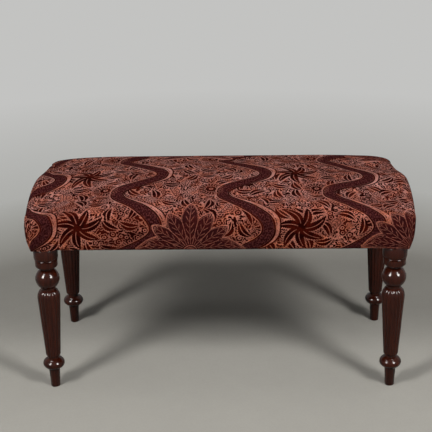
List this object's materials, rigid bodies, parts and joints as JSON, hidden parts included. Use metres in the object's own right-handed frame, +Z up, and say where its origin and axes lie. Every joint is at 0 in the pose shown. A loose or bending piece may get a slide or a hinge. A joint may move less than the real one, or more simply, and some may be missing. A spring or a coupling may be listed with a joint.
{
  "type": "upholstered footstool",
  "caption": "Long upholstered footstool: a stuffed, velvet-covered seat over a webbed wooden frame on turned and reeded legs.",
  "frame": {"origin": "on the floor under the middle of the stool", "axes": "+X along the stool to its right end, +Y from front to back, +Z up"},
  "size_m": [0.906, 0.412, 0.4837],
  "materials": {
    "leg_mahogany": "dark mahogany, French polished to a high gloss",
    "frame_beech": "plain sawn beech, unfinished",
    "screw_brass": "bright brass wood screw",
    "webbing_jute": "woven jute webbing",
    "hessian_cloth": "open plain-woven hessian",
    "stuffing_hair": "curled hair stuffing",
    "wadding_cotton": "soft cotton wadding",
    "cover_velvet": "cut velvet, coral ground with a dark aubergine serpentine and leaf pattern",
    "bottoming_black": "black cotton bottoming cloth"
  },
  "bodies": {
    "root": {"leg_front_left": "leg_mahogany", "leg_front_right": "leg_mahogany", "leg_back_left": "leg_mahogany", "leg_back_right": "leg_mahogany", "rail_front": "frame_beech", "rail_back": "frame_beech", "rail_left": "frame_beech", "rail_right": "frame_beech", "cross_rail": "frame_beech", "corner_block_front_left": "frame_beech", "screw_front_left_1": "screw_brass", "screw_front_left_2": "screw_brass", "corner_block_front_right": "frame_beech", "screw_front_right_1": "screw_brass", "screw_front_right_2": "screw_brass", "corner_block_back_left": "frame_beech", "screw_back_left_1": "screw_brass", "screw_back_left_2": "screw_brass", "corner_block_back_right": "frame_beech", "screw_back_right_1": "screw_brass", "screw_back_right_2": "screw_brass", "webbing_long_1": "webbing_jute", "webbing_long_2": "webbing_jute", "webbing_long_3": "webbing_jute", "webbing_cross_1": "webbing_jute", "webbing_cross_2": "webbing_jute", "webbing_cross_3": "webbing_jute", "webbing_cross_4": "webbing_jute", "webbing_cross_5": "webbing_jute", "webbing_cross_6": "webbing_jute", "webbing_cross_7": "webbing_jute", "hessian": "hessian_cloth", "stuffing": "stuffing_hair", "wadding": "wadding_cotton", "top_cover": "cover_velvet", "bottoming_cloth": "bottoming_black"}
  },
  "joints": []
}
